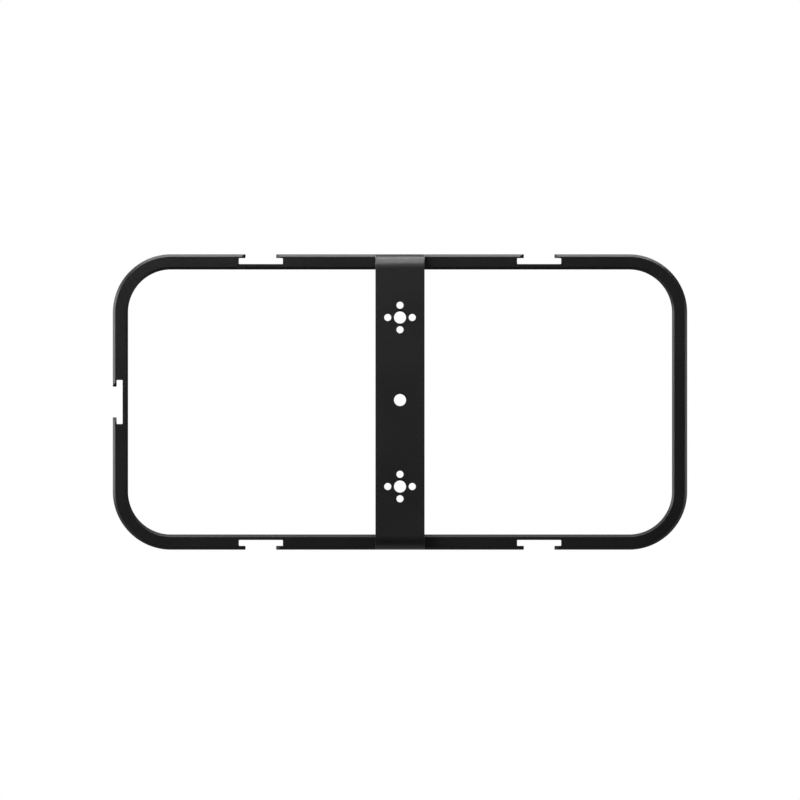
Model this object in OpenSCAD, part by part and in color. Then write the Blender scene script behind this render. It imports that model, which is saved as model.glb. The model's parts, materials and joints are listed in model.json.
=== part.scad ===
// Phone cage: a rounded ring that goes round a phone, with five accessory shoes cut through its rails
// and an upright bar across its back that carries three tapped holes.
// +Z is up, -Y is the back and +X is on the right as seen from the back. The ring stands on Z = 0.

/* [Frame ring] */
// Outside width of the ring
frame_w = 244; // [200:0.5:300]
// Outside height of the ring
frame_h = 125.5; // [100:0.5:160]
// Depth of the ring from its front face to its back face
frame_d = 18; // [15:0.5:26]
// Thickness of the rails
rail_t = 6.5; // [5.6:0.1:9]
// Outside radius of the ring's corners
corner_r = 24.7; // [12:0.1:36]
// Chamfer along the ring's front and back edges
edge_chamfer = 1.05; // [0.3:0.05:1.4]

/* [Accessory shoes] */
// Width of the channel that an accessory's foot slides along
shoe_w = 18.7; // [18.5:0.1:19.2]
// Height of that channel
shoe_h = 2.5; // [2.1:0.05:2.8]
// Width of the mouth between the shoe's lips
shoe_mouth = 13; // [12.5:0.1:13.6]
// Thickness of the lips
shoe_lip = 1.65; // [1.45:0.05:2]
// Chamfer of the lips' edges at the ends of the mouth
lip_chamfer = 1.65; // [0.3:0.05:2]
// Distance of the upper and lower shoes from the ring's middle
shoe_reach = 59.1; // [30:0.1:80]

/* [Rear bar] */
// Width of the bar
bar_w = 20.9; // [18:0.1:26]
// Thickness of the bar
bar_t = 4; // [3.2:0.1:6]
// Gap between the ring's back face and the bar, which is also the inside radius of the bar's bends
bar_gap = 2; // [1:0.1:6]
// Thickness of the bar's feet, which lie flush in the upper and lower rails
foot_t = 3; // [2.2:0.1:3.9]
// Length of the feet in front of the ring's back face
foot_len = 12; // [8:0.1:13.5]
// Radius of the feet's front corners
foot_corner_r = 3; // [1:0.1:5]
// Clearance round each foot in its pocket
foot_clear = 0.1; // [0.05:0.01:0.3]

/* [Tapped holes and pin holes] */
// Wall diameter of the tapped holes, a 1/4 inch 20 thread at its minor diameter
thread_d = 5.1; // [4.9:0.05:5.4]
// Diameter of their lead-in chamfers at the bar's inner face
thread_mouth_d = 6.9; // [6.4:0.05:7.3]
// Distance of the upper and lower tapped holes from the ring's middle
thread_reach = 35.9; // [20:0.1:45]
// Height of the middle tapped hole above the ring's middle
middle_rise = 0.85; // [0:0.05:10]
// Diameter of the locating-pin holes
pin_d = 3; // [2.5:0.05:3.2]
// Diameter of the circle that the pin holes lie on
pin_circle_d = 10.4; // [10:0.1:14]
// Pin holes round each outer tapped hole
pin_count = 4; // [2:1:6]

/* [Bar screws] */
// Thread diameter of the screws
screw_d = 3; // [2.5:0.5:3]
// Diameter of their countersunk heads
screw_head_d = 5.6; // [5.2:0.1:6]
// Straight land round each head's edge
screw_land = 0.2; // [0.1:0.05:0.3]
// Depth of the heads below the feet's faces
screw_sink = 0.1; // [0:0.05:0.3]
// Distance between the two screws of a foot
screw_pitch = 11; // [8:0.1:14]
// Gap between a screw's tip and the inside of the rail
screw_tip_gap = 0.4; // [0.2:0.1:1.5]
// Chamfer of the tips
screw_tip_chamfer = 0.4; // [0.1:0.05:0.6]
// Width across the flats of the key sockets
key_w = 2; // [1.5:0.1:2.5]
// Depth of the key sockets
key_depth = 1.1; // [0.8:0.1:1.3]
// Radial clearance of the screws in the feet
screw_clear = 0.2; // [0.1:0.05:0.4]
// Radial clearance of the screws in their tapped holes
tap_clear = 0.03; // [0.01:0.01:0.05]

/* [Hidden] */
$fn = 96;

// How far cutters run past the faces that they open
past = 1;
// Outside radius of the bar's bends, which end at the ring's back face
bend_r = bar_gap + bar_t;
// Depth of the whole cage
cage_d = frame_d + bend_r;
// Straight lengths between the corners
straight_w = frame_w - 2 * corner_r;
straight_h = frame_h - 2 * corner_r;
// Half the height of the bar's flat part
bar_flat = frame_h / 2 - bend_r;
// Screws run from their sunk heads to just short of the inside of the rail
screw_len = rail_t - screw_sink - screw_tip_gap;
// Depth of the screws' centres, in the middle of the feet
screw_depth = frame_d - foot_len / 2;

ring_black = "#2a2a2c";
bar_black = "#303032";
screw_black = "#1b1b1d";

// Pieces are drawn lying on the ring's front face, middle at the origin, and are then stood up
module upright() {
    translate([0, cage_d / 2, frame_h / 2]) rotate([90, 0, 0]) children();
}

// Cross-section of a rail, with x running outwards and y from front to back
module rail_section() {
    c = edge_chamfer;
    polygon([
        [c, 0], [rail_t - c, 0], [rail_t, c], [rail_t, frame_d - c],
        [rail_t - c, frame_d], [c, frame_d], [0, frame_d - c], [0, c]
    ]);
}

// Straight rail on the +X side, with its outer face at the given reach
module straight_rail(reach, length) {
    translate([reach - rail_t, length / 2, 0]) rotate([90, 0, 0]) linear_extrude(length) rail_section();
}

// Quarter turn of rail between two straight rails
module corner_rail() {
    rotate_extrude(angle = 90) translate([corner_r - rail_t, 0]) rail_section();
}

module plain_ring() {
    for (turn = [0, 180]) {
        rotate(turn) straight_rail(frame_w / 2, straight_h);
        rotate(turn + 90) straight_rail(frame_h / 2, straight_w);
        rotate(turn) translate([straight_w / 2, straight_h / 2, 0]) corner_rail();
        rotate(turn) translate([-straight_w / 2, straight_h / 2, 0]) rotate(90) corner_rail();
    }
}

// Mouth of a shoe seen from outside, flared at both ends to chamfer the lips there
module shoe_mouth_outline() {
    half = shoe_mouth / 2;
    c = lip_chamfer;
    flare = half + c + past;
    polygon([
        [-half, c], [-flare, -past], [flare, -past], [half, c],
        [half, frame_d - c], [flare, frame_d + past], [-flare, frame_d + past], [-half, frame_d - c]
    ]);
}

// Shoe cut through a rail whose outer face lies at y = 0
module shoe_cut() {
    translate([-shoe_w / 2, -shoe_lip - shoe_h, -past]) cube([shoe_w, shoe_h, frame_d + 2 * past]);
    translate([0, past, 0]) rotate([90, 0, 0])
        linear_extrude(past + shoe_lip + shoe_h / 2) shoe_mouth_outline();
}

module shoe_cuts() {
    for (turn = [0, 180], side = [-1, 1])
        rotate(turn) translate([side * shoe_reach, frame_h / 2, 0]) shoe_cut();
    rotate(90) translate([0, frame_w / 2, 0]) shoe_cut();
}

// Outline of a foot seen from outside, grown by a clearance and run on behind the ring's back face
module foot_outline(grow, run_on) {
    half = bar_w / 2 + grow;
    r = foot_corner_r + grow;
    front = frame_d - foot_len - grow;
    translate([-half, front + r]) square([2 * half, frame_d + run_on - front - r]);
    translate([r - half, front]) square([2 * (half - r), r]);
    for (side = [-1, 1])
        translate([side * (half - r), front + r]) circle(r);
}

// Stands a screw or its hole on the upper rail, with z = 0 at the outer face and the screw below it
module at_screw(side) {
    translate([side * screw_pitch / 2, frame_h / 2, screw_depth]) rotate([-90, 0, 0]) children();
}

module foot_pocket() {
    translate([0, frame_h / 2 + past, 0]) rotate([90, 0, 0])
        linear_extrude(past + foot_t) foot_outline(foot_clear, past);
    for (side = [-1, 1])
        at_screw(side) translate([0, 0, -rail_t - past])
            cylinder(d = screw_d + 2 * tap_clear, h = rail_t + past);
}

module frame() {
    color(ring_black) upright() difference() {
        plain_ring();
        shoe_cuts();
        for (turn = [0, 180])
            rotate(turn) foot_pocket();
    }
}

// Side view of the bar without its feet, with x running up and y from front to back
module bar_outline() {
    translate([-bar_flat, frame_d + bar_gap]) square([2 * bar_flat, bar_t]);
    for (end = [0, 1])
        mirror([end, 0]) translate([bar_flat, frame_d]) intersection() {
            difference() {
                circle(bend_r);
                circle(bar_gap);
            }
            square(bend_r);
        }
}

module foot() {
    translate([0, frame_h / 2, 0]) rotate([90, 0, 0]) linear_extrude(foot_t) foot_outline(0, 0);
}

// Tapped hole through the bar, with a lead-in chamfer at the inner face
module tapped_hole() {
    front = frame_d + bar_gap;
    r = thread_d / 2;
    lead = thread_mouth_d / 2 - r;
    wide = r + lead + past;
    rotate_extrude() polygon([
        [0, front - past], [wide, front - past], [r, front + lead], [r, cage_d + past], [0, cage_d + past]
    ]);
}

module pin_holes() {
    for (pin = [0 : pin_count - 1])
        rotate(pin * 360 / pin_count) translate([pin_circle_d / 2, 0, frame_d])
            cylinder(d = pin_d, h = bend_r + past);
}

// Hole and countersink for a screw, whose cone the head seats on
module screw_seat() {
    mouth_r = screw_head_d / 2 + screw_sink + screw_land;
    hole_r = screw_d / 2 + screw_clear;
    rotate_extrude() polygon([
        [0, past], [mouth_r + past, past], [hole_r, hole_r - mouth_r], [hole_r, -foot_t - past], [0, -foot_t - past]
    ]);
}

module rear_bar() {
    color(bar_black) upright() difference() {
        union() {
            translate([-bar_w / 2, 0, 0]) rotate([90, 0, 90]) linear_extrude(bar_w) bar_outline();
            for (turn = [0, 180])
                rotate(turn) foot();
        }
        for (rise = [-thread_reach, middle_rise, thread_reach])
            translate([0, rise, 0]) tapped_hole();
        for (rise = [-thread_reach, thread_reach])
            translate([0, rise, 0]) pin_holes();
        for (turn = [0, 180], side = [-1, 1])
            rotate(turn) at_screw(side) screw_seat();
    }
}

// Countersunk screw, hanging below the face that it is sunk into
module screw() {
    r = screw_d / 2;
    head_r = screw_head_d / 2;
    translate([0, 0, -screw_sink]) difference() {
        rotate_extrude() polygon([
            [0, 0], [head_r, 0], [head_r, -screw_land], [r, r - head_r - screw_land],
            [r, screw_tip_chamfer - screw_len], [r - screw_tip_chamfer, -screw_len], [0, -screw_len]
        ]);
        translate([0, 0, -key_depth]) cylinder(d = key_w / cos(30), h = key_depth + past, $fn = 6);
    }
}

module bar_screw(turn, side) {
    color(screw_black) upright() rotate(turn) at_screw(side) screw();
}

frame();
rear_bar();
bar_screw(0, -1);  // screw_top_left
bar_screw(0, 1);  // screw_top_right
bar_screw(180, 1);  // screw_bottom_left
bar_screw(180, -1);  // screw_bottom_right
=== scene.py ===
"""Looks of a phone cage: a black anodised ring with accessory shoes, its rear bar and the bar's screws.

Sizes are in millimetres, as in the part's source, and a mesh is brought to metres when it is made. +Z is
up, -Y is the back of the cage, where the camera stands, and +X is on the right as seen from there.
"""

import json
import logging
import math
from abc import ABC, abstractmethod
from dataclasses import dataclass
from enum import IntEnum
from itertools import product
from typing import Mapping, Sequence

import bmesh
import bpy
import numpy as np
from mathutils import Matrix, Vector, geometry

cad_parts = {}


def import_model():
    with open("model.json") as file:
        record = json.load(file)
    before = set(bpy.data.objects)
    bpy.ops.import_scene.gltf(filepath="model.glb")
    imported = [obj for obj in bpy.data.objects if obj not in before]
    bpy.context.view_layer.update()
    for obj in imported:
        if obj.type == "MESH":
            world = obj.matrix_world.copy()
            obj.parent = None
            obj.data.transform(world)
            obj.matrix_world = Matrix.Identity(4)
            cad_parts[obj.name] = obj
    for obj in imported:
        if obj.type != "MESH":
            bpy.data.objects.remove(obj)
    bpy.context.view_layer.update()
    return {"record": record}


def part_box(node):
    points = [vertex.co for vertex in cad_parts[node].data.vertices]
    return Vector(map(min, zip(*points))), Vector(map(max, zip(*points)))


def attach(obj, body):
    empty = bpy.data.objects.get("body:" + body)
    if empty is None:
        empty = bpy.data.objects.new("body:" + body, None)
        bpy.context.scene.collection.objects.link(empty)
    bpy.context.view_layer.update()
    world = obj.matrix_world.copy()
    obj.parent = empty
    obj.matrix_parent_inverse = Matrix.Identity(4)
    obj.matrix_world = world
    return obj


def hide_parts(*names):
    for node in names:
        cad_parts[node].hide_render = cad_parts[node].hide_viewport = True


LOG = logging.getLogger("cage")

Array = np.ndarray
Colour = tuple[float, float, float]
Triple = tuple[float, float, float]
Limits = tuple[float, float]
Settings = Mapping[str, object]
Sockets = Mapping[str | int, object]

MM = 0.001
# Points nearer to each other than this are one point
WELD = 0.0004
# The same for the points of a flat fill
FILL_WELD = WELD / 10
# Decimal places by which places along the ring's depth are told apart
DEPTH_DIGITS = 6
# Faces that meet at a wider angle than this keep a hard line between them
HARD_LINE = math.radians(32)
# Parts of a full turn
QUARTER = math.tau / 4
SIXTH = math.tau / 6
EIGHTH = math.tau / 8
# Fall of a 60 degree thread's flank for each millimetre along the hole
FLANK = math.sqrt(3)
# Places of the colour sockets on a Mix node
MIX_A, MIX_B, MIX_RESULT = 6, 7, 2
# Kind of output of Blender's flat triangulation that fills the inside of the outer loop
TRIANGLES_INSIDE = 1
# Octaves of noise in a fine grain, and in a drift that has finer noise on top
GRAIN, DRIFT = 2.0, 3.0
# Mean of Blender's noise, and the span that most of it lies in
NOISE_MEAN = 0.5
NOISE_SPAN = (0.3, 0.7)
WHITE = (1.0, 1.0, 1.0, 1.0)


class Value:
    """A shader socket that carries a number, so that shader maths reads as a Python expression."""

    def __init__(self, graph: "NodeGraph", socket: bpy.types.NodeSocket) -> None:
        """Wraps a socket of a graph."""
        self.graph = graph
        self.socket = socket

    def math(self, operation: str, *operands: "Value | float") -> "Value":
        """Adds a Math node for the operands."""
        return self.graph.value("ShaderNodeMath", {"operation": operation}, dict(enumerate(operands)))

    def __add__(self, other: "Value | float") -> "Value":
        """Sum."""
        return self.math("ADD", self, other)

    def __radd__(self, other: float) -> "Value":
        """Sum with a number on the left."""
        return self.math("ADD", other, self)

    def __sub__(self, other: "Value | float") -> "Value":
        """Difference."""
        return self.math("SUBTRACT", self, other)

    def __rsub__(self, other: float) -> "Value":
        """Difference from a number on the left."""
        return self.math("SUBTRACT", other, self)

    def __mul__(self, other: "Value | float") -> "Value":
        """Product."""
        return self.math("MULTIPLY", self, other)

    def __rmul__(self, other: float) -> "Value":
        """Product with a number on the left."""
        return self.math("MULTIPLY", other, self)

    def __abs__(self) -> "Value":
        """Value without its sign."""
        return self.math("ABSOLUTE", self)

    def ripple(self) -> "Value":
        """Sine of the value, brought from the span -1 to 1 to the span 0 to 1."""
        return self.math("SINE", self) * 0.5 + 0.5

    def ramp(self, low: float, high: float) -> "Value":
        """Rises smoothly from 0 at low to 1 at high."""
        sockets = {"Value": self, "From Min": low, "From Max": high}
        return self.graph.value("ShaderNodeMapRange", {"interpolation_type": "SMOOTHSTEP"}, sockets)


class NodeGraph:
    """A node tree with one way to add any node."""

    def __init__(self, tree: bpy.types.NodeTree) -> None:
        """Empties a tree to draw a new graph in it."""
        self.tree = tree
        tree.nodes.clear()

    def add(
        self, kind: str, settings: Settings | None = None, sockets: Sockets | None = None
    ) -> bpy.types.Node:
        """Adds a node of any type.

        Args:
            kind: Blender's name for the node type.
            settings: Attributes of the node, which are set first.
            sockets: Values or links of its inputs, by name or place.

        Returns:
            The new node.
        """
        node = self.tree.nodes.new(kind)
        for name, setting in (settings or {}).items():
            setattr(node, name, setting)
        for key, source in (sockets or {}).items():
            plain = source.socket if isinstance(source, Value) else source
            if isinstance(plain, bpy.types.NodeSocket):
                self.tree.links.new(plain, node.inputs[key])
            else:
                node.inputs[key].default_value = plain
        return node

    def value(self, kind: str, settings: Settings, sockets: Sockets, output: str | int = 0) -> Value:
        """Adds a node and wraps one of its outputs."""
        return Value(self, self.add(kind, settings, sockets).outputs[output])

    def noise(self, grain: Triple, octaves: float = GRAIN) -> Value:
        """Noise over the piece's own coordinates, with its own grain along each axis.

        Args:
            grain: Size of the grain along x, y and z, in millimetres.
            octaves: Octaves of finer noise on top.

        Returns:
            The noise, from 0 to 1.
        """
        place = self.add("ShaderNodeTexCoord").outputs["Object"]
        scale = tuple(1 / (size * MM) for size in grain)
        sized = self.add("ShaderNodeMapping", {}, {"Vector": place, "Scale": scale}).outputs[0]
        return self.value("ShaderNodeTexNoise", {}, {"Vector": sized, "Scale": 1.0, "Detail": octaves})

    def attribute(self, name: str) -> Value:
        """A number that the mesh stores at each point."""
        return self.value("ShaderNodeAttribute", {"attribute_name": name}, {}, "Fac")

    def blend(self, factor: Value, low: Colour, high: Colour) -> bpy.types.NodeSocket:
        """A colour between two colours."""
        sockets = {"Factor": factor, MIX_A: (*low, 1.0), MIX_B: (*high, 1.0)}
        return self.add("ShaderNodeMix", {"data_type": "RGBA"}, sockets).outputs[MIX_RESULT]

    def bump(self, height: Value, depth: float, strength: float) -> bpy.types.NodeSocket:
        """A normal that follows a height of 0 to 1, with its depth in millimetres."""
        sockets = {"Height": height, "Distance": depth * MM, "Strength": strength}
        return self.add("ShaderNodeBump", {}, sockets).outputs["Normal"]


@dataclass(frozen=True)
class Finish(ABC):
    """A finish, drawn as one Principled shader.

    Attributes:
        name: Name of its material.
        dark: Base colour where it is darkest.
        light: Base colour where it is lightest.
    """

    name: str
    dark: Colour
    light: Colour

    @abstractmethod
    def draw(self, graph: NodeGraph) -> Sockets:
        """Draws the nodes of the finish in a graph, and gives the shader's inputs."""

    def material(self) -> bpy.types.Material:
        """Makes the material.

        Returns:
            The material, with the finish drawn in it.
        """
        material = bpy.data.materials.new(self.name)
        material.use_nodes = True
        graph = NodeGraph(material.node_tree)
        shader = graph.add("ShaderNodeBsdfPrincipled", {}, self.draw(graph))
        graph.add("ShaderNodeOutputMaterial", {}, {"Surface": shader.outputs[0]})
        return material


@dataclass(frozen=True)
class BlastedAnodise(Finish):
    """Black anodised aluminium, bead blasted before it was dyed: tiny dents over a slow waviness."""

    roughness: float = 0.38
    rough_spread: float = 0.16
    dent: float = 0.12
    wave: float = 1.3
    cloud: float = 24.0
    dent_share: float = 0.7
    gloss_share: float = 0.6
    dent_depth: float = 0.024
    dent_strength: float = 1.0
    ior: float = 1.62

    def draw(self, graph: NodeGraph) -> Sockets:
        """Draws dents and waviness as bump, and dye and gloss that drift slowly.

        Args:
            graph: Graph to draw in.

        Returns:
            Inputs of the shader.
        """
        dents = graph.noise((self.dent,) * 3)
        waves = graph.noise((self.wave,) * 3)
        clouds = graph.noise((self.cloud,) * 3, DRIFT)
        relief = dents * self.dent_share + waves * (1 - self.dent_share)
        gloss = dents * self.gloss_share + clouds * (1 - self.gloss_share) - NOISE_MEAN
        return {
            "Base Color": graph.blend(clouds.ramp(*NOISE_SPAN), self.dark, self.light),
            "Roughness": self.roughness + gloss * self.rough_spread,
            "Normal": graph.bump(relief, self.dent_depth, self.dent_strength),
            "IOR": self.ior,
        }


@dataclass(frozen=True)
class CutAnodise(Finish):
    """Black anodised aluminium as the cutter left it: fine lines along one axis."""

    line: Triple
    roughness: float = 0.34
    rough_spread: float = 0.12
    ior: float = 1.62
    line_depth: float = 0.006
    line_strength: float = 0.35

    def draw(self, graph: NodeGraph) -> Sockets:
        """Draws noise that is drawn out along the cutter's path, as bump, gloss and shade.

        Args:
            graph: Graph to draw in.

        Returns:
            Inputs of the shader.
        """
        lines = graph.noise(self.line, DRIFT)
        return {
            "Base Color": graph.blend(lines.ramp(*NOISE_SPAN), self.dark, self.light),
            "Roughness": self.roughness + (lines - NOISE_MEAN) * self.rough_spread,
            "Normal": graph.bump(lines, self.line_depth, self.line_strength),
            "IOR": self.ior,
        }


@dataclass(frozen=True)
class BlackOxide(Finish):
    """Steel blackened with an oxide, with the rings of the lathe still showing on it."""

    distance_name: str
    roughness: float = 0.33
    rough_spread: float = 0.14
    metallic: float = 0.55
    ring: float = 0.09
    fleck: float = 0.35
    fleck_span: Limits = (0.35, 0.65)
    ring_share: float = 0.6
    ring_depth: float = 0.003
    ring_strength: float = 0.3

    def draw(self, graph: NodeGraph) -> Sockets:
        """Draws a sine of the distance from the screw's axis as bump, and flecks in the oxide.

        Args:
            graph: Graph to draw in.

        Returns:
            Inputs of the shader.
        """
        flecks = graph.noise((self.fleck,) * 3, DRIFT)
        rings = (graph.attribute(self.distance_name) * (math.tau / self.ring)).ripple()
        relief = rings * self.ring_share + flecks * (1 - self.ring_share)
        return {
            "Base Color": graph.blend(flecks.ramp(*self.fleck_span), self.dark, self.light),
            "Roughness": self.roughness + (flecks - NOISE_MEAN) * self.rough_spread,
            "Normal": graph.bump(relief, self.ring_depth, self.ring_strength),
            "Metallic": self.metallic,
        }


@dataclass(frozen=True)
class PaleFloor(Finish):
    """Matt white studio floor with a faint mottle."""

    mottle: float = 25.0
    roughness: float = 0.9
    lift: float = 0.55

    def draw(self, graph: NodeGraph) -> Sockets:
        """Draws the floor's paint, which gives off a little light of its own.

        Args:
            graph: Graph to draw in.

        Returns:
            Inputs of the shader.
        """
        mottle = graph.noise((self.mottle,) * 3)
        return {
            "Base Color": graph.blend(mottle.ramp(*NOISE_SPAN), self.dark, self.light),
            "Roughness": self.roughness,
            "Emission Color": WHITE,
            "Emission Strength": self.lift,
        }


def spaced(start: float, end: float, steps: int) -> Array:
    """Numbers from start to end in equal steps, both ends among them."""
    return np.linspace(start, end, steps + 1)


def circle(count: int) -> Array:
    """Angles of a full turn, without the last, which is the first again."""
    return np.arange(count) * (math.tau / count)


def rays(angles: Array) -> Array:
    """Points on a circle of radius 1: the cosine and the sine of each angle."""
    return np.stack([np.cos(angles), np.sin(angles)], axis=-1)


def lifted(flat: Array, heights: Array) -> Array:
    """Rows of flat points with a third number, the same all along a row."""
    return np.dstack([flat, np.broadcast_to(heights[:, None], flat.shape[:2])])


def quarter_round(radius: float, steps: int) -> tuple[Array, Array]:
    """Quarter circle that rounds an edge, from the face over to the side.

    Args:
        radius: Radius of the round.
        steps: Steps of its arc.

    Returns:
        Distances in from the side, and depths below the face.
    """
    turn = spaced(0, QUARTER, steps)
    return radius * (1 - np.sin(turn)), radius * (1 - np.cos(turn))


def put_in_scene(name: str, data: bpy.types.ID) -> bpy.types.Object:
    """Makes an object of a mesh, a light or a camera.

    Args:
        name: Name of the object.
        data: What it shows.

    Returns:
        The object, at the origin.
    """
    thing = bpy.data.objects.new(name, data)
    bpy.context.scene.collection.objects.link(thing)
    return thing


class Skin:
    """Grids and flat patches, in millimetres, that are joined into one closed mesh."""

    def __init__(self) -> None:
        """Starts with nothing."""
        self.points: list[Array] = []
        self.faces: list[list[int]] = []
        self.finishes: list[Array] = []
        self.count = 0

    def _take(self, points: Array, faces: Array, finish: Array) -> None:
        """Adds points and faces over them.

        Args:
            points: Points by three.
            faces: Faces, as places in these points.
            finish: Finish of each face.
        """
        self.points.append(points)
        self.faces.extend((faces + self.count).tolist())
        self.finishes.append(finish)
        self.count += len(points)

    def grid(self, points: Array, finish: Array | int = 0, leave_out: Array | None = None) -> None:
        """Adds a grid that is open along its rows' order and closed round each row.

        Args:
            points: Rows by points by three; the last point of a row is joined to its first.
            finish: Finish of each face, rows less one by points, or one for all.
            leave_out: True for each face to leave out, rows less one by points.
        """
        rows, around = points.shape[:2]
        index = np.arange(rows * around).reshape(rows, around)
        after = np.roll(index, -1, axis=1)
        faces = np.stack([index[:-1], after[:-1], after[1:], index[1:]], axis=-1)
        finishes = np.broadcast_to(finish, faces.shape[:2])
        keep = np.ones(faces.shape[:2], bool) if leave_out is None else ~leave_out
        self._take(points.reshape(-1, 3), faces[keep], finishes[keep])

    def patch(self, points: Array, triangles: Array, finish: int = 0) -> None:
        """Adds triangles over a list of points."""
        self._take(points, triangles, np.full(len(triangles), finish))

    def piece(self, name: str, materials: Sequence[bpy.types.Material]) -> bpy.types.Object:
        """Welds what was added into one mesh with its faces outwards, and makes an object of it.

        Args:
            name: Name of the piece.
            materials: Materials by finish number.

        Returns:
            The object, at the origin.
        """
        mesh = bpy.data.meshes.new(name)
        mesh.from_pydata(np.concatenate(self.points) * MM, [], self.faces)
        mesh.polygons.foreach_set("material_index", np.concatenate(self.finishes).astype(np.int32))
        solid = bmesh.new()
        solid.from_mesh(mesh)
        bmesh.ops.remove_doubles(solid, verts=solid.verts, dist=WELD * MM)
        bmesh.ops.dissolve_degenerate(solid, edges=solid.edges, dist=WELD * MM)
        bmesh.ops.recalc_face_normals(solid, faces=solid.faces)
        open_edges = sum(not edge.is_manifold for edge in solid.edges)
        solid.to_mesh(mesh)
        solid.free()
        self._shade(mesh)
        for material in materials:
            mesh.materials.append(material)
        LOG.info("%s: %d faces, %d open edges", name, len(mesh.polygons), open_edges)
        return put_in_scene(name, mesh)

    def _shade(self, mesh: bpy.types.Mesh) -> None:
        """Shades small rounds smoothly and wide faces flat.

        Each corner of a face takes the mean normal, by area, of the faces round its point that are turned
        from its own face by less than the hard line's angle. Corners are sorted by point, so a point's
        corners lie together, and every corner is paired with each of them.

        Args:
            mesh: Mesh to shade.
        """
        mesh.polygons.foreach_set("use_smooth", np.ones(len(mesh.polygons), bool))
        points = np.empty(len(mesh.loops), np.int32)
        sizes = np.empty(len(mesh.polygons), np.int32)
        areas = np.empty(len(mesh.polygons), np.float32)
        normals = np.empty((len(mesh.polygons), 3), np.float32)
        mesh.loops.foreach_get("vertex_index", points)
        mesh.polygons.foreach_get("loop_total", sizes)
        mesh.polygons.foreach_get("area", areas)
        mesh.polygons.foreach_get("normal", normals.ravel())
        face = np.repeat(np.arange(len(sizes)), sizes)
        order = np.argsort(points, kind="stable")
        shared = np.bincount(points)
        first = np.cumsum(shared) - shared
        pairs = shared[points[order]]
        corner = np.repeat(order, pairs)
        step = np.arange(len(corner)) - np.repeat(np.cumsum(pairs) - pairs, pairs)
        other = face[order[first[points[corner]] + step]]
        level = np.einsum("ij,ij->i", normals[face[corner]], normals[other]) > math.cos(HARD_LINE)
        weight = areas[other] * level
        sums = [np.bincount(corner, weight * normals[other, axis]) for axis in range(3)]
        mean = np.stack(sums, axis=-1)
        mesh.normals_split_custom_set(mean / np.linalg.norm(mean, axis=1, keepdims=True))


def fill(loops: Sequence[Array], across: Sequence[tuple[int, int]] = ()) -> Array:
    """Triangles between an outer loop and the loops of the holes in it, on a plane.

    A hole bulges nowhere inwards, so a triangle with all its points on one hole's loop lies in that hole.

    Args:
        loops: Points of each loop, two numbers each, the outer loop first.
        across: Pairs of points of the outer loop that an edge has to join.

    Returns:
        Triangles, as places in the loops' points laid end to end.
    """
    ends = np.cumsum([len(loop) for loop in loops])
    rims = [list(range(end - len(loop), end)) for loop, end in zip(loops, ends)]
    flat = [Vector(point) for point in np.concatenate(loops).tolist()]
    filled = geometry.delaunay_2d_cdt(flat, list(across), rims, TRIANGLES_INSIDE, FILL_WELD)
    _, _, faces, sources, _, _ = filled
    first = np.array([source[0] for source in sources])
    triangles = first[np.array(faces)]
    loop_of = np.searchsorted(ends, triangles, side="right")
    in_hole = (loop_of[:, 0] > 0) & np.all(loop_of == loop_of[:, :1], axis=1)
    return triangles[~in_hole]


def outline(normals: Array, reaches: Array, radii: Array, steps: Sequence[int]) -> tuple[Array, Array]:
    """Outline of straight sides that meet in arcs, worked out at many stations at once.

    Side i is the line on which normal i . p = reach i, with the material behind it. Two sides moved in by
    their corner's radius cross at the corner's centre, and its arc is centre + radius * n, with n turning
    from one side's normal to the next one's. A hollow corner has a negative radius.

    Args:
        normals: Outward normals, sides by two.
        reaches: Distance of the sides from the origin, stations by sides.
        radii: Radius of the corner after each side, stations by sides.
        steps: Steps in each corner's arc.

    Returns:
        Points, stations by points by two, and for each point the side that the outline runs on after it.
    """
    runs: list[Array] = []
    sides: list[int] = []
    count = len(normals)
    for side in range(count):
        after = (side + 1) % count
        here, there = normals[side], normals[after]
        radius = radii[:, side]
        spread = here[0] * there[1] - here[1] * there[0]
        near = ((reaches[:, side] - radius) / spread)[:, None]
        far = ((reaches[:, after] - radius) / spread)[:, None]
        centre = near * [there[1], -there[0]] + far * [-here[1], here[0]]
        begin = math.atan2(here[1], here[0])
        turn = math.copysign(math.acos(np.clip(here @ there, -1, 1)), spread)
        bow = rays(spaced(begin, begin + turn, steps[side]))
        runs.append(centre[:, None, :] + radius[:, None, None] * bow)
        sides += [side] * steps[side] + [after]
    return np.concatenate(runs, axis=1), np.array(sides)


class RingFinish(IntEnum):
    """Finishes of the ring's faces."""

    BLASTED = 0
    CHAMFER = 1
    CHANNEL = 2


class Edge(IntEnum):
    """What takes off the ends of a side, at the ring's front and back faces."""

    PLAIN = 0
    CHAMFER = 1
    LIP = 2


@dataclass
class Side:
    """One straight side of the ring's outline.

    Attributes:
        normal: Outward normal.
        reach: Distance from the ring's middle at each station.
        radius: Radius of the corner to the next side at each station, negative in a hollow one.
        steps: Steps of that corner's arc.
        finish: Finish of the side's face.
        edge: What takes off the side's ends.
        closes: True for the sides of a pocket, which lie in the rail's face where the pocket has ended.
    """

    normal: Array
    reach: Array
    radius: Array
    steps: int
    finish: RingFinish
    edge: Edge
    closes: bool = False


@dataclass
class Stations:
    """Places along the ring's depth, from its front to its back, and what each takes off the outline.

    Attributes:
        depth: Place along Y.
        off: What is taken off the sides, by kind of edge.
        notch: Depth of the feet's pockets.
        half: Half the pockets' width.
        soft: Radius of the pockets' long edges.
    """

    depth: Array
    off: Array
    notch: Array
    half: Array
    soft: Array

    def level(self, size: float) -> Array:
        """A size that is the same at every station."""
        return np.full(len(self.depth), size)


@dataclass
class Rail:
    """Outer face of one of the ring's four rails.

    Attributes:
        out: Outward normal.
        along: Direction in which the outline runs.
        reach: Distance from the ring's middle.
    """

    out: Array
    along: Array
    reach: float


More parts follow.
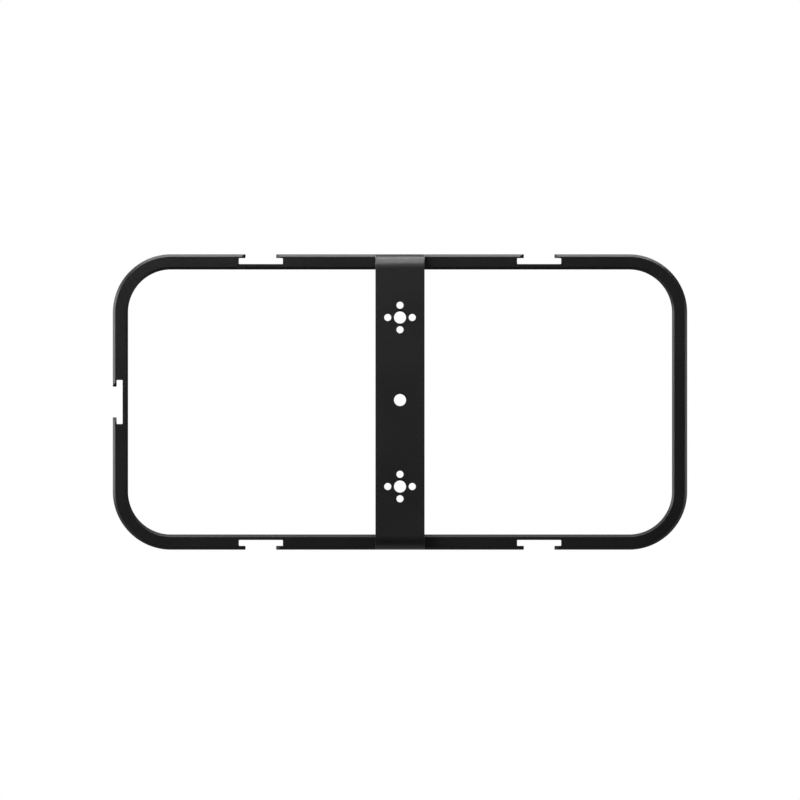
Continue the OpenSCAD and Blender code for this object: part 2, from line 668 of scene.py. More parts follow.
@dataclass
class RingFrame:
    """The ring that goes round the phone, with five shoes and two pockets for the bar's feet in it."""

    width: float
    height: float
    front: float
    back: float
    shoe_reach: float
    foot_half: float
    foot_front: float
    screw_xs: tuple[float, float]
    screw_y: float
    finishes: Sequence[bpy.types.Material]
    rail: float = 6.5
    corner_r: float = 24.7
    chamfer: float = 1.05
    shoe_w: float = 18.7
    shoe_h: float = 2.5
    shoe_mouth: float = 13.0
    shoe_lip: float = 1.65
    lip_chamfer: float = 1.65
    pocket: float = 3.0
    pocket_gap: float = 0.1
    pocket_corner: float = 3.1
    tap_r: float = 1.53
    chamfer_soft: float = 0.25
    edge_soft: float = 0.12
    lip_soft: float = 0.25
    channel_soft: float = 0.3
    corner_steps: int = 44
    pocket_steps: int = 10
    small_steps: int = 4
    round_steps: int = 3
    tap_steps: int = 40

    def __post_init__(self) -> None:
        """Lays out the stations."""
        self.stations = self._stations()

    def _slope(self, chamfer: float) -> tuple[Array, Array]:
        """Lays out a 45 degree chamfer with a small arc tangent to it at both its lines.

        Args:
            chamfer: Size of the chamfer.

        Returns:
            Distances from the ring's face, from 0 up, and what is taken off there.
        """
        soft = self.chamfer_soft
        run = soft * math.tan(EIGHTH / 2)
        upper, lower = spaced(0, EIGHTH, self.round_steps), spaced(EIGHTH, QUARTER, self.round_steps)
        off = np.concatenate([soft * (1 - np.cos(upper)), chamfer + run - soft * np.cos(lower)])
        deep = np.concatenate([chamfer + run - soft * np.sin(upper), soft * (1 - np.sin(lower))])
        return deep[::-1], off[::-1]

    def _edge(self) -> tuple[Array, Array]:
        """Works out how the outline is drawn in towards a face of the ring.

        A chamfered side follows the ring's chamfer, a lip's end follows its own, with a place where the
        lip's round corner has shrunk to nothing, and a plain side follows a small quarter round.

        Returns:
            Distances from the face, from 0 up, and what is taken off there by each kind of edge.
        """
        deep, off = self._slope(self.chamfer)
        lip_deep, lip_off = self._slope(self.lip_chamfer)
        small, _ = quarter_round(self.edge_soft, self.round_steps)
        corner_end = [self.lip_chamfer - self.lip_soft]
        depth = np.unique(np.round(np.concatenate([deep, lip_deep, small, corner_end]), DEPTH_DIGITS))
        inside = np.clip(self.edge_soft - depth, 0, None)
        plain = self.edge_soft - np.sqrt(self.edge_soft**2 - inside**2)
        sloped = [np.interp(depth, deep, off), np.interp(depth, lip_deep, lip_off)]
        return depth, np.stack([plain, *sloped], axis=1)

    def _stations(self) -> Stations:
        """Lays out the stations: the front edge, the rounded front ends of the pockets, and the back edge.

        A pocket's end has a small round at its rim, and its two corners are quarter circles, along which
        its width grows as the sine of the turn.

        Returns:
            The stations.
        """
        depth, off = self._edge()
        edge = len(depth)
        full = self.foot_half + self.pocket_gap
        narrow = full - self.pocket_corner
        end = self.foot_front + self.pocket_gap
        ahead, rim_notch = quarter_round(self.edge_soft, self.round_steps)
        turn = spaced(0, QUARTER, self.pocket_steps)
        rim, bow = len(ahead), len(turn)
        behind = self.pocket_corner * (1 - np.cos(turn))
        widening = narrow + self.pocket_corner * np.sin(turn)
        soft = np.full(bow, self.edge_soft)
        soft[0] = 0
        return Stations(
            depth=np.concatenate([self.front - depth, end + ahead, end - behind, self.back + depth[::-1]]),
            off=np.concatenate([off, np.zeros((rim + bow, len(Edge))), off[::-1]]),
            notch=np.concatenate([np.zeros(edge), rim_notch, np.full(bow + edge, self.pocket)]),
            half=np.concatenate([np.full(edge + rim, narrow), widening, np.full(edge, full)]),
            soft=np.concatenate([np.zeros(edge + rim), soft, np.full(edge, self.edge_soft)]),
        )

    def _shoe(self, rail: Rail, place: float) -> list[Side]:
        """Lists the sides of a shoe: lip end, under the lip, channel end, floor, and back up again.

        Args:
            rail: Rail that it lies in.
            place: Place of its middle along the rail.

        Returns:
            The seven sides.
        """
        mouth, channel = self.shoe_mouth / 2, self.shoe_w / 2
        under = self.shoe_lip - rail.reach
        floor = rail.reach - self.shoe_lip - self.shoe_h
        lip, hollow = self.lip_soft, -self.channel_soft
        cut, end = (RingFinish.CHANNEL, Edge.PLAIN), (RingFinish.BLASTED, Edge.LIP)
        rows = (
            (rail.along, place - mouth, lip, end),
            (-rail.out, under, hollow, cut),
            (rail.along, place - channel, hollow, cut),
            (rail.out, floor, hollow, cut),
            (-rail.along, -place - channel, hollow, cut),
            (-rail.out, under, lip, cut),
            (-rail.along, -place - mouth, lip, end),
        )
        level, steps = self.stations.level, self.small_steps
        return [Side(way, level(far), level(soft), steps, *dress) for way, far, soft, dress in rows]

    def _notch(self, rail: Rail) -> list[Side]:
        """Lists the sides of a foot's pocket, which close up where the pocket ends.

        Args:
            rail: Rail that it lies in.

        Returns:
            Wall, floor and wall.
        """
        soft, half = self.stations.soft, self.stations.half
        rest = (self.small_steps, RingFinish.CHANNEL, Edge.PLAIN, True)
        return [
            Side(rail.along, -half, -soft, *rest),
            Side(rail.out, rail.reach - self.stations.notch, -soft, *rest),
            Side(-rail.along, -half, soft, *rest),
        ]

    def _outer(self) -> list[Side]:
        """Lists the sides of the outer outline, going round from the top rail by way of the left one.

        Returns:
            The sides in order.
        """
        level = self.stations.level
        rest = (RingFinish.BLASTED, Edge.CHAMFER)
        pair = (-self.shoe_reach, self.shoe_reach)
        sides: list[Side] = []
        for quarter, places in enumerate((pair, (0.0,), pair, ())):
            out = np.round(rays(QUARTER * (quarter + 1)))
            pocketed = quarter % 2 == 0
            reach = (self.height if pocketed else self.width) / 2
            rail = Rail(out, np.array([-out[1], out[0]]), reach)
            cuts = [(level(self.lip_soft), self._shoe(rail, place)) for place in places]
            if pocketed:
                cuts.insert(1, (self.stations.soft, self._notch(rail)))
            for soft, cut in cuts:
                sides += [Side(out, level(reach), soft, self.small_steps, *rest), *cut]
            sides.append(Side(out, level(reach), level(self.corner_r), self.corner_steps, *rest))
        return sides

    def _inner(self) -> list[Side]:
        """Lists the sides of the inner outline, going round the other way, with hollow corners.

        Returns:
            The four sides in order.
        """
        level = self.stations.level
        rest = (level(self.rail - self.corner_r), self.corner_steps, RingFinish.BLASTED, Edge.CHAMFER)
        sides: list[Side] = []
        for quarter, size in enumerate((self.width, self.height) * 2):
            out = -np.round(rays(-QUARTER * quarter))
            sides.append(Side(out, level(self.rail - size / 2), *rest))
        return sides

    def _trace(self, sides: list[Side]) -> tuple[Array, Array]:
        """Draws an outline at every station, each side drawn in by what the station takes off it.

        A full corner's radius shrinks by what is taken off, and a hollow corner's grows by it. A face has
        its side's own finish, or the chamfer's where the chamfer runs.

        Args:
            sides: Sides in order.

        Returns:
            Points, stations by points by three, and the faces' finishes, stations less one by points.
        """
        stations = self.stations
        closed = (stations.notch <= 0)[:, None] & [side.closes for side in sides]
        edges = np.where(closed, Edge.CHAMFER, [side.edge for side in sides])
        own = np.where(closed, RingFinish.BLASTED, [side.finish for side in sides])
        off = np.take_along_axis(stations.off, edges, axis=1)
        after = np.roll(off, -1, axis=1)
        radii = np.stack([side.radius for side in sides], axis=1)
        full = np.clip(radii - np.maximum(off, after), 0, None)
        hollow = radii - np.minimum(off, after) * (radii < 0)
        reaches = np.stack([side.reach for side in sides], axis=1) - off
        normals = np.stack([side.normal for side in sides])
        steps = [side.steps for side in sides]
        drawn, owner = outline(normals, reaches, np.where(radii > 0, full, hollow), steps)
        depth = np.broadcast_to(stations.depth[:, None], drawn.shape[:2])
        points = np.stack([drawn[..., 0], depth, drawn[..., 1] + self.height / 2], axis=-1)
        sloping = np.abs(np.diff(stations.off, axis=0)) > WELD
        sloping = np.take_along_axis(sloping, edges[1:], axis=1) & (edges[1:] != Edge.PLAIN)
        finish = np.where(sloping, RingFinish.CHAMFER, own[1:])
        return points, finish[:, owner]

    def _tapped(self, skin: Skin, floor: Array, plate: Array) -> None:
        """Fills a rail's inner face and its pocket's floor round the two tapped holes, and lines the holes.

        Args:
            skin: Mesh to add to.
            floor: Corners of the pocket floor's rectangle, four by three.
            plate: Corners of the inner face's rectangle.
        """
        ring = rays(circle(self.tap_steps))
        middles = [np.array([x, self.screw_y]) for x in self.screw_xs]
        inset, sunk = quarter_round(self.edge_soft, self.round_steps)
        radii = self.tap_r + np.append(inset, 0)
        rise = math.copysign(1.0, floor[0, 2] - plate[0, 2])
        heights = np.append(plate[0, 2] + rise * sunk, floor[0, 2])
        for corners, radius, finish in (
            (plate, radii[0], RingFinish.BLASTED),
            (floor, radii[-1], RingFinish.CHANNEL),
        ):
            loops = [corners[:, :2], *(middle + radius * ring for middle in middles)]
            flat = np.concatenate(loops)
            points = np.column_stack([flat, np.full(len(flat), corners[0, 2])])
            skin.patch(points, fill(loops), finish)
        for middle in middles:
            skin.grid(lifted(middle + radii[:, None, None] * ring, heights), RingFinish.CHANNEL)

    def build(self) -> bpy.types.Object:
        """Carries the two outlines along the depth, caps them, and opens the screws' tapped holes.

        Returns:
            The ring.
        """
        skin = Skin()
        walls: list[Array] = []
        band = int(np.argmax(-np.diff(self.stations.depth) * (self.stations.notch[1:] > 0)))
        cut_out: dict[bool, list[Array]] = {True: [], False: []}
        for sides in (self._outer(), self._inner()):
            points, finish = self._trace(sides)
            leave_out = np.zeros(finish.shape, bool)
            after = np.roll(points, -1, axis=1)
            long_faces = np.linalg.norm(after - points, axis=-1)[band] > 2 * self.pocket_corner
            across = (points[band, :, 0] < 0) != (after[band, :, 0] < 0)
            for place in np.flatnonzero(long_faces & across):
                leave_out[band, place] = True
                near, far = (np.stack([points[row, place], after[row, place]]) for row in (band, band + 1))
                corners = np.concatenate([near, far[::-1]])
                cut_out[bool(corners[0, 2] > self.height / 2)].append(corners)
            skin.grid(points, finish, leave_out)
            walls.append(points)
        for floor, plate in cut_out.values():
            self._tapped(skin, floor, plate)
        for end in (0, -1):
            loops = [wall[end][:, [0, 2]] for wall in walls]
            cap = np.concatenate([wall[end] for wall in walls])
            skin.patch(cap, fill(loops), RingFinish.BLASTED)
        return skin.piece("ring_body", self.finishes)


class BarFinish(IntEnum):
    """Finishes of the bar's faces."""

    BLASTED = 0
    CUT = 1


@dataclass
class Bore:
    """A round hole through the bar.

    Attributes:
        along: Place of its middle along the strap.
        across: Place of its middle across the strap.
        radii: Radius of its wall, rows by angles, from the outer face to the inner one.
        depths: Depth of each row below the outer face.
    """

    along: float
    across: float
    radii: Array
    depths: Array

    @classmethod
    def turned(cls, middle: tuple[float, float], radii: Array, depths: Array, steps: int) -> "Bore":
        """A hole whose wall is a profile turned round its axis."""
        return cls(*middle, np.repeat(radii[:, None], steps, axis=1), depths)

    def rows(self) -> Array:
        """Points of the wall as along, across and deep, rows by angles by three."""
        spokes = self.radii[..., None] * rays(circle(self.radii.shape[1]))
        return lifted([self.along, self.across] + spokes, self.depths)


@dataclass
class RearBar:
    """The strap across the back: two feet, two bends and a flat face with tapped holes and pin holes."""

    width: float
    height: float
    ring_back: float
    back: float
    foot_front: float
    thread_zs: Sequence[float]
    thread_r: float
    pinned_zs: Sequence[float]
    pin_circle_r: float
    pin_r: float
    pin_count: int
    screw_xs: tuple[float, float]
    screw_y: float
    finishes: Sequence[bpy.types.Material]
    thickness: float = 4.0
    foot_t: float = 3.0
    foot_corner: float = 3.0
    step_run: float = 0.02
    edge_soft: float = 0.2
    pin_soft: float = 0.1
    mouth_r: float = 3.45
    thread_start: float = math.radians(135)
    crest_soft: float = 0.04
    major_r: float = 3.175
    pitch: float = 1.27
    root_share: float = 1 / 16
    seat_r: float = 3.1
    screw_hole_r: float = 1.7
    bend_steps: int = 28
    corner_steps: int = 8
    round_steps: int = 4
    pin_steps: int = 48
    thread_steps: int = 96
    thread_rows: int = 88
    seat_steps: int = 60

    def __post_init__(self) -> None:
        """Works out where the strap's feet, bends and flat part end, measured along its outer face."""
        self.bend_r = self.ring_back - self.back
        foot = self.foot_front - self.ring_back
        bend = self.bend_r * QUARTER
        flat = self.height - 2 * self.bend_r
        self.ends = np.cumsum([foot, bend, flat, bend, foot])

    def _thickness(self, along: Array) -> Array:
        """Thickness of the strap, which steps down where a foot begins.

        Args:
            along: Places along the strap.

        Returns:
            The thickness at each.
        """
        first, last = self.ends[0], self.ends[3]
        knots = [first - self.step_run, first, last, last + self.step_run]
        return np.interp(along, knots, [self.foot_t, self.thickness, self.thickness, self.foot_t])

    def _wrap(self, strap: Array) -> Array:
        """Bends the flat strap into its place on the ring.

        The outer face runs back along the upper foot, turns down through a quarter circle, runs down, turns
        forward through another and runs along the lower foot. A point lies below it by its depth.

        Args:
            strap: Points as along, across and deep.

        Returns:
            Points in the shared frame.
        """
        along, across, deep = np.moveaxis(strap, -1, 0)
        foot, top, flat, bottom, _ = self.ends
        upper = np.clip((along - foot) / self.bend_r, 0, QUARTER)
        lower = np.clip((along - flat) / self.bend_r, 0, QUARTER)
        y = self.foot_front - np.minimum(along, foot) + np.clip(along - bottom, 0, None)
        y = y - self.bend_r * np.sin(upper) + self.bend_r * (1 - np.cos(lower))
        z = self.height - self.bend_r * (1 - np.cos(upper)) - np.clip(along - top, 0, flat - top)
        z = z - self.bend_r * np.sin(lower)
        turn = upper + lower
        return np.stack([across, y + deep * np.sin(turn), z - deep * np.cos(turn)], axis=-1)

    def _rim(self, inset: float) -> Array:
        """Outline of the flattened strap, drawn in by an inset, with points where the strap bends.

        Args:
            inset: Distance from the real outline.

        Returns:
            Points as along and across, once round.
        """
        foot, top, flat, bottom, total = self.ends
        half, corner = self.width / 2, self.foot_corner
        bends = [spaced(foot, top, self.bend_steps), spaced(flat, bottom, self.bend_steps)]
        marks = np.concatenate([[foot - self.step_run], *bends, [bottom + self.step_run]])
        edge = np.column_stack([marks, np.full(len(marks), half - inset)])
        bow = (corner - inset) * rays(spaced(0, QUARTER, self.corner_steps))[:, ::-1]
        far = [total - corner, half - corner] + bow
        near = [corner, half - corner] + bow[::-1] * [-1, 1]
        right = np.concatenate([near, edge, far])
        return np.concatenate([right, right[::-1] * [1, -1]])

    def _across(self, rim: Array) -> list[tuple[int, int]]:
        """Pairs the points of the outline that face each other at the strap's bends.

        Args:
            rim: The outline.

        Returns:
            Places of both points of each pair.
        """
        side = len(rim) // 2
        first = self.corner_steps + 1
        return [(place, 2 * side - 1 - place) for place in range(first, side - first)]

    def _down(self, z: float) -> float:
        """Place along the strap of a height on its flat part."""
        return self.ends[1] + self.height - self.bend_r - z

    def _thread(self, z: float) -> Bore:
        """Cuts a 60 degree thread that opens straight onto the outer face, with a cone at the inner one.

        The groove has a narrow flat root at the thread's major radius, and beside it the radius falls by
        1.73 times the distance from the root. The root winds once round the hole for each pitch, to the
        right. Groove and wall meet in a soft maximum.

        Args:
            z: Height of the hole.

        Returns:
            The tapped hole.
        """
        depths = spaced(0, self.thickness, self.thread_rows)
        winding = (circle(self.thread_steps) - self.thread_start) / math.tau
        phase = depths[:, None] / self.pitch + winding
        away = np.abs(phase - np.round(phase)) * self.pitch
        groove = self.major_r - np.clip(away - self.pitch * self.root_share, 0, None) * FLANK
        worn = np.logaddexp(0, (groove - self.thread_r) / self.crest_soft)
        wall = self.thread_r + self.crest_soft * worn
        cone = self.mouth_r - (self.thickness - depths)[:, None]
        return Bore(self._down(z), 0.0, np.maximum(wall, cone), depths)

    def _bores(self) -> list[Bore]:
        """Lists every hole.

        Returns:
            Tapped holes, pin holes and the screws' countersunk holes.
        """
        inset, sunk = quarter_round(self.pin_soft, self.round_steps)
        pin_radii = self.pin_r + np.concatenate([inset, inset[::-1]])
        pin_depths = np.concatenate([sunk, self.thickness - sunk[::-1]])
        seat_radii = np.array([self.seat_r, self.screw_hole_r, self.screw_hole_r])
        seat_depths = np.array([0, self.seat_r - self.screw_hole_r, self.foot_t])
        around = self.pin_circle_r * rays(circle(self.pin_count))
        pins = [(self._down(z) + along, across) for z in self.pinned_zs for along, across in around]
        into_foot = self.foot_front - self.screw_y
        seats = product((into_foot, self.ends[-1] - into_foot), self.screw_xs)
        return [
            *(self._thread(z) for z in self.thread_zs),
            *(Bore.turned(pin, pin_radii, pin_depths, self.pin_steps) for pin in pins),
            *(Bore.turned(seat, seat_radii, seat_depths, self.seat_steps) for seat in seats),
        ]

    def build(self) -> bpy.types.Object:
        """Fills the strap's outer and inner faces round the holes, rounds its edge and lines the holes.

        Returns:
            The bar.
        """
        skin = Skin()
        bores = self._bores()
        rim = self._rim(self.edge_soft)
        for row in (0, -1):
            loops = [rim, *(bore.rows()[row, :, :2] for bore in bores)]
            flat = np.concatenate(loops)
            deep = self._thickness(flat[:, 0]) * (row != 0)
            skin.patch(self._wrap(np.column_stack([flat, deep])), fill(loops, self._across(rim)))
        insets, sunk = quarter_round(self.edge_soft, self.round_steps)
        lines = np.stack([self._rim(inset) for inset in insets])
        inner = np.dstack([lines, self._thickness(lines[..., 0]) - sunk[:, None]])
        skin.grid(self._wrap(np.concatenate([lifted(lines, sunk), inner[::-1]])))
        for bore in bores:
            skin.grid(self._wrap(bore.rows()), BarFinish.CUT)
        return skin.piece("bar_strap", self.finishes)


@dataclass
class BarScrew:
    """A countersunk socket screw that holds a foot of the bar in its pocket."""

    name: str
    x: float
    y: float
    head_z: float
    tip_z: float
    head_r: float
    distance_name: str
    finishes: Sequence[bpy.types.Material]
    shank_r: float = 1.5
    land: float = 0.2
    seat_gap: float = 0.02
    key_w: float = 2.0
    key_depth: float = 1.1
    key_point: float = 0.35
    key_flare: float = 0.06
    head_soft: float = 0.08
    pitch: float = 0.5
    thread_depth: float = 0.28
    thread_slope: float = 1.3
    crest_share: float = 0.15
    tip_chamfer: float = 0.4
    steps: int = 72
    flare_steps: int = 4
    round_steps: int = 3
    thread_rows: int = 84

    def _profile(self) -> tuple[Array, Array]:
        """Works out the screw's surface, from the bottom of its key socket over its head to its tip.

        The socket's radius is that of a hexagon, half its width over the cosine of the angle from the
        nearest flat, opened by a cone at its mouth. The shank's radius dips by the thread's depth once in
        each pitch as it winds.

        Returns:
            Radii and depths below the head's face, both rows by angles.
        """
        angles = circle(self.steps)
        from_flat = (angles + SIXTH / 2) % SIXTH - SIXTH / 2
        key = self.key_w / 2 / np.cos(from_flat)
        mouth = self.key_w / math.sqrt(3) + self.key_flare
        flare = spaced(0, mouth - self.key_w / 2, self.flare_steps)[::-1]
        inset, sunk = quarter_round(self.head_soft, self.round_steps)
        length = abs(self.head_z - self.tip_z)
        cone_end = self.land + self.head_r - self.shank_r
        down = np.linspace(cone_end, length, self.thread_rows)
        phase = down[:, None] / self.pitch + angles / math.tau
        valley = 1 - 2 * np.abs(phase - np.round(phase))
        thread = self.thread_depth * np.clip(valley * self.thread_slope - self.crest_share, 0, 1)
        point = np.clip(down - (length - self.tip_chamfer), 0, None)[:, None]
        shank = self.shank_r - np.maximum(thread, point) - self.seat_gap * (down[:, None] <= cone_end)
        rows = [
            (0.0, self.key_depth + self.key_point),
            (key, self.key_depth),
            *((np.maximum(key, mouth - deep), deep) for deep in flare),
            *zip(self.head_r - inset, sunk),
            (self.head_r - self.seat_gap, self.land),
            *zip(shank, down),
            (0.0, length),
        ]
        radii = np.stack([np.broadcast_to(radius, self.steps) for radius, _ in rows])
        depths = np.stack([np.full(self.steps, deep) for _, deep in rows])
        return radii, depths

    def build(self) -> bpy.types.Object:
        """Turns the profile round the screw's axis, and stores each point's distance from that axis.

        Returns:
            The screw.
        """
        radii, depths = self._profile()
        angles = circle(self.steps)
        inward = math.copysign(1.0, self.tip_z - self.head_z)
        x = self.x + radii * np.cos(angles)
        y = self.y - inward * radii * np.sin(angles)
        skin = Skin()
        skin.grid(np.stack([x, y, self.head_z + inward * depths], axis=-1))
        screw = skin.piece(self.name, self.finishes)
        self._store_distance(screw.data)
        return screw

    def _store_distance(self, mesh: bpy.types.Mesh) -> None:
        """Stores each point's distance from the screw's axis, in millimetres.

        Args:
            mesh: Mesh of the screw.
        """
        places = np.empty(len(mesh.vertices) * 3, np.float32)
        mesh.vertices.foreach_get("co", places)
        flat = places.reshape(-1, 3)[:, :2] / MM - [self.x, self.y]
        stored = mesh.attributes.new(self.distance_name, "FLOAT", "POINT")
        stored.data.foreach_set("value", np.linalg.norm(flat, axis=1).astype(np.float32))


@dataclass(frozen=True)
class Softbox:
    """A soft rectangular studio light.

    Attributes:
        name: Its name.
        place: Its middle, in metres.
        aim: Point that it faces, in metres.
        size: Width and height, in metres.
        watts: Power.
        spares_floor: True for a light that would leave a bright spot or a line on the floor.
    """

    name: str
    place: Triple
    aim: Triple
    size: tuple[float, float]
    watts: float
    spares_floor: bool = False

    def build(self, floor: bpy.types.Object) -> None:
        """Hangs the light in the studio, out of the camera's sight.

        Args:
            floor: The studio's floor.
        """
        data = bpy.data.lights.new(self.name, "AREA")
        data.shape = "RECTANGLE"
        data.size, data.size_y = self.size
        data.energy = self.watts
        light = put_in_scene(self.name, data)
        light.location = self.place
        light.rotation_euler = (Vector(self.aim) - Vector(self.place)).to_track_quat("-Z", "Y").to_euler()
        light.visible_camera = False
        if self.spares_floor:
            unlit = bpy.data.collections.new(f"{self.name}_spares")
            unlit.objects.link(floor)
            unlit.collection_objects[0].light_linking.link_state = "EXCLUDE"
            light.light_linking.receiver_collection = unlit


@dataclass(frozen=True)
class Studio:
    """White studio: floor, backdrop, soft lights, and a camera that looks straight at the cage's back.

    Attributes:
        aim_z: Height that the camera looks at, in metres.
        view_width: Width of the camera's view, in metres.
        stand_off: Distance of the camera from the cage, in metres.
        floor_half: Half the floor's width, in metres.
        lights: The soft lights.
        dim: Brightness of the room.
        glow: Brightness of the backdrop behind the cage, as the cage sees it.
        glow_rise: Forward parts of a ray's direction between which the glow rises.
        bounce: Brightness of the floor to the left and right, as the cage sees it.
        bounce_rise: Downward parts of a ray's direction between which the bounce rises.
        bounce_fall: Downward parts between which it falls again.
        bounce_side: Sideways parts between which it rises.
    """

    aim_z: float
    view_width: float = 0.3398
    stand_off: float = 1.0
    floor_half: float = 4.0
    lights: Sequence[Softbox] = ()
    dim: float = 0.003
    glow: float = 0.22
    glow_rise: Limits = (0.0, 0.7)
    bounce: float = 0.42
    bounce_rise: Limits = (0.08, 0.35)
    bounce_fall: Limits = (0.75, 0.95)
    bounce_side: Limits = (0.35, 0.75)

    def _floor(self) -> bpy.types.Object:
        """Lays the floor, seen by the camera but not mirrored in the cage.

        Returns:
            The floor.
        """
        half = self.floor_half
        corners = [(-half, -half, 0), (half, -half, 0), (half, half, 0), (-half, half, 0)]
        mesh = bpy.data.meshes.new("studio_floor")
        mesh.from_pydata(corners, [], [(0, 1, 2, 3)])
        mesh.materials.append(PALE_FLOOR.material())
        floor = put_in_scene("studio_floor", mesh)
        floor.visible_glossy = False
        floor.visible_diffuse = False
        floor.visible_shadow = False
        return floor

    def _backdrop(self) -> None:
        """Makes the world white to the camera, and to the cage dim with a glow behind it."""
        world = bpy.data.worlds.new("studio_room")
        world.use_nodes = True
        graph = NodeGraph(world.node_tree)
        way = graph.add("ShaderNodeTexCoord").outputs["Generated"]
        parts = graph.add("ShaderNodeSeparateXYZ", {}, {"Vector": way}).outputs
        side, ahead, up = (Value(graph, part) for part in parts)
        down = up * -1.0
        low = down.ramp(*self.bounce_rise) * (1.0 - down.ramp(*self.bounce_fall))
        bounce = low * abs(side).ramp(*self.bounce_side)
        strength = self.dim + ahead.ramp(*self.glow_rise) * self.glow + bounce * self.bounce
        room = graph.add("ShaderNodeBackground", {}, {"Color": WHITE, "Strength": strength})
        white = graph.add("ShaderNodeBackground", {}, {"Color": WHITE})
        seen = graph.add("ShaderNodeLightPath").outputs["Is Camera Ray"]
        sockets = {0: seen, 1: room.outputs[0], 2: white.outputs[0]}
        both = graph.add("ShaderNodeMixShader", {}, sockets)
        graph.add("ShaderNodeOutputWorld", {}, {"Surface": both.outputs[0]})
        bpy.context.scene.world = world

    def _camera(self) -> None:
        """Sets a camera without perspective, level and square to the cage's back."""
        data = bpy.data.cameras.new("camera")
        data.type = "ORTHO"
        data.ortho_scale = self.view_width
        camera = put_in_scene("camera", data)
        camera.location = (0.0, -self.stand_off, self.aim_z)
        camera.rotation_euler = (QUARTER, 0.0, 0.0)
        bpy.context.scene.camera = camera

    def build(self) -> None:
        """Sets up the whole studio."""
        floor = self._floor()
        self._backdrop()
        self._camera()
        for light in self.lights:
            light.build(floor)
        bpy.context.scene.view_settings.view_transform = "Standard"


def box_mm(node: str) -> tuple[Array, Array]:
    """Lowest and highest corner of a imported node, in millimetres."""
    low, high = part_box(node)
    return np.array(low) / MM, np.array(high) / MM


def settle(piece: bpy.types.Object, node: str) -> None:
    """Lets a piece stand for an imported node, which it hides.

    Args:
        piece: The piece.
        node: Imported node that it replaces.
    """
    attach(piece, "root")
    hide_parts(node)
    LOG.info("%s stands for %s", piece.name, node)


SCREWS = ("screw_top_left", "screw_top_right", "screw_bottom_left", "screw_bottom_right")
TURNED = "from_axis"

BLACK_RING = BlastedAnodise("ring_blasted", (0.0142, 0.0142, 0.0146), (0.0172, 0.0172, 0.0176))
BLACK_CHAMFER = CutAnodise(
    "ring_chamfer", (0.008, 0.008, 0.0083), (0.010, 0.010, 0.0103), (0.25, 0.25, 0.25), roughness=0.39
)
BLACK_CHANNEL = CutAnodise(
    "ring_channel", (0.016, 0.016, 0.0165), (0.022, 0.022, 0.0225), (0.22, 9.0, 0.22)
)
BLACK_BAR = BlastedAnodise(
    "bar_blasted", (0.0245, 0.0245, 0.0250), (0.0290, 0.0290, 0.0295), roughness=0.34
)
BLACK_BORE = CutAnodise(
    "bar_bores", (0.005, 0.005, 0.0052), (0.008, 0.008, 0.0082), (0.5, 0.08, 0.5), roughness=0.46, ior=1.36
)
BLACK_STEEL = BlackOxide("screw_oxide", (0.016, 0.016, 0.017), (0.026, 0.026, 0.027), TURNED)
PALE_FLOOR = PaleFloor("pale_floor", (0.345, 0.345, 0.345), (0.35, 0.35, 0.35))

# Middle of the cage, in metres
CAGE = (0.0, 0.0, 0.06)

LIGHTS = (
    Softbox("front_high", (-0.20, -1.20, 0.60), CAGE, (0.8, 0.5), 0.2),
    Softbox("left_front", (-0.75, -0.55, 0.35), CAGE, (0.5, 0.5), 1.4),
    Softbox("right_front", (0.75, -0.55, 0.35), CAGE, (0.4, 0.5), 0.5),
    Softbox("near_left", (-0.18, -0.20, 0.34), (-0.03, 0.0, 0.09), (0.2, 0.2), 0.54),
    Softbox("left_side", (-0.90, 0.05, 0.20), CAGE, (0.5, 0.5), 3.5, True),
    Softbox("right_low", (0.45, 0.017, 0.045), (0.0, 0.017, 0.045), (0.045, 0.13), 0.11, True),
    Softbox("over_front", (0.0, -0.45, 0.85), CAGE, (0.8, 0.4), 3.1),
    Softbox("over_middle", (0.0, 0.0, 0.90), CAGE, (0.9, 0.55), 2.2),
    Softbox("over_strip", (0.0, 0.025, 0.50), (0.0, 0.024, 0.12), (0.8, 0.06), 1.05),
    Softbox("under_strip", (0.0, 0.034, -0.40), (0.0, 0.033, 0.0), (0.8, 0.075), 0.05),
    Softbox("under_wide", (0.0, 0.0, -0.80), CAGE, (1.0, 0.8), 0.17),
    Softbox("phone_side_left", (-0.70, 0.80, 0.55), CAGE, (0.5, 0.6), 6.0),
    Softbox("phone_side_right", (0.60, 0.95, 0.75), CAGE, (0.6, 0.5), 6.0),
)


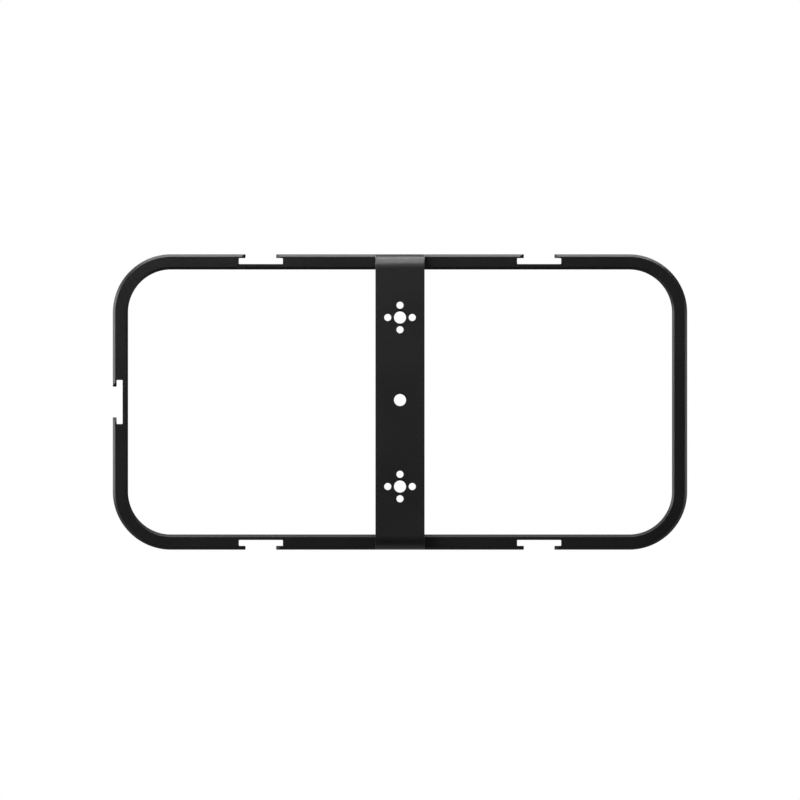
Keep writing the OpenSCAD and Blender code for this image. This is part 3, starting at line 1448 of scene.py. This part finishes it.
def main(frame: Mapping[str, object]) -> None:
    """Builds the ring, the bar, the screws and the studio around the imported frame.

    Args:
        frame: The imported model, as loaded.
    """
    mounts = {mount["name"]: mount for mount in frame["record"]["mounts"]}
    ring_low, ring_high = box_mm("frame")
    bar_low, bar_high = box_mm("rear_bar")
    boxes = {name: box_mm(name) for name in SCREWS}
    left, right = (sum(boxes[name]) / 2 for name in SCREWS[:2])
    screw_xs = (float(left[0]), float(right[0]))
    pins = mounts["upper_pins"]["dims"]

    ring = RingFrame(
        width=ring_high[0] - ring_low[0],
        height=ring_high[2] - ring_low[2],
        front=ring_high[1],
        back=ring_low[1],
        shoe_reach=mounts["shoe_top_right"]["pos_m"][0] / MM,
        foot_half=bar_high[0],
        foot_front=bar_high[1],
        screw_xs=screw_xs,
        screw_y=float(left[1]),
        finishes=[finish.material() for finish in (BLACK_RING, BLACK_CHAMFER, BLACK_CHANNEL)],
    )
    settle(ring.build(), "frame")

    bar = RearBar(
        width=bar_high[0] - bar_low[0],
        height=ring.height,
        ring_back=ring.back,
        back=bar_low[1],
        foot_front=bar_high[1],
        thread_zs=[mounts[f"{name}_thread"]["pos_m"][2] / MM for name in ("upper", "middle", "lower")],
        thread_r=mounts["upper_thread"]["dims"]["r_mm"],
        pinned_zs=[mounts[f"{name}_pins"]["pos_m"][2] / MM for name in ("upper", "lower")],
        pin_circle_r=pins["pcd_mm"] / 2,
        pin_r=pins["hole_r_mm"],
        pin_count=pins["count"],
        screw_xs=screw_xs,
        screw_y=ring.screw_y,
        finishes=[finish.material() for finish in (BLACK_BAR, BLACK_BORE)],
    )
    settle(bar.build(), "rear_bar")

    steel = BLACK_STEEL.material()
    for name, (low, high) in boxes.items():
        middle = (low + high) / 2
        upper = middle[2] > ring.height / 2
        screw = BarScrew(
            name=f"socket_{name}",
            x=float(middle[0]),
            y=float(middle[1]),
            head_z=high[2] if upper else low[2],
            tip_z=low[2] if upper else high[2],
            head_r=(high[0] - low[0]) / 2,
            distance_name=TURNED,
            finishes=[steel],
        )
        settle(screw.build(), name)

    Studio(aim_z=mounts["middle_thread"]["pos_m"][2], lights=LIGHTS).build()


if __name__ == "__main__":
    logging.basicConfig(level=logging.INFO, format="%(message)s")
    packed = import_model()
    main(packed)
